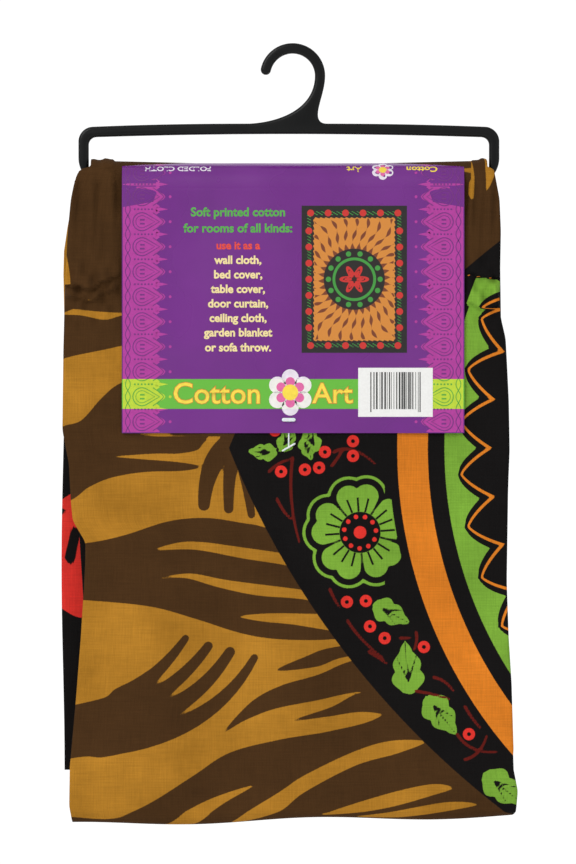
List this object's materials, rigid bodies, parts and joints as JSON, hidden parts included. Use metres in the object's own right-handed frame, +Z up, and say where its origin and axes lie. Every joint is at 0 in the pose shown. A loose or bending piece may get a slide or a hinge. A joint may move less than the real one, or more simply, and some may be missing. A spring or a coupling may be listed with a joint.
{
  "type": "folded tapestry on a hanger",
  "caption": "Printed cotton tapestry folded over the lower bar of a plastic frame hanger, with a folded header card, a bar-code label and a tag pin.",
  "frame": {"origin": "the point at the inside top of the hook, which rests on the rail", "axes": "+Z up, -Y towards the front, the side with the label and the tag pin, +X to the right seen from the front"},
  "size_m": [0.228, 0.0265, 0.3976],
  "materials": {
    "hanger_plastic": "satin black moulding",
    "printed_cotton": "plain-weave cotton, printed",
    "printed_card": "varnished print",
    "label_paper": "matt",
    "pin_nylon": "clear white"
  },
  "bodies": {
    "hanger": {"hanger_frame": "hanger_plastic"},
    "back_half": {"cloth_back_leaf": "printed_cotton", "card_back_panel": "printed_card"},
    "front_half": {"cloth_front_leaf": "printed_cotton", "card_front_panel": "printed_card", "price_label": "label_paper", "tag_pin": "pin_nylon"}
  },
  "joints": [
    {"name": "pack_swing", "type": "hinge", "parent": "hanger", "child": "back_half", "pos_m": [0, 0, -0.06485], "axis": [-1, 0, 0], "range_deg": [-30, 30]},
    {"name": "leaves_part", "type": "hinge", "parent": "back_half", "child": "front_half", "pos_m": [0, 0, -0.0543], "axis": [-1, 0, 0], "range_deg": [0, 25]}
  ]
}
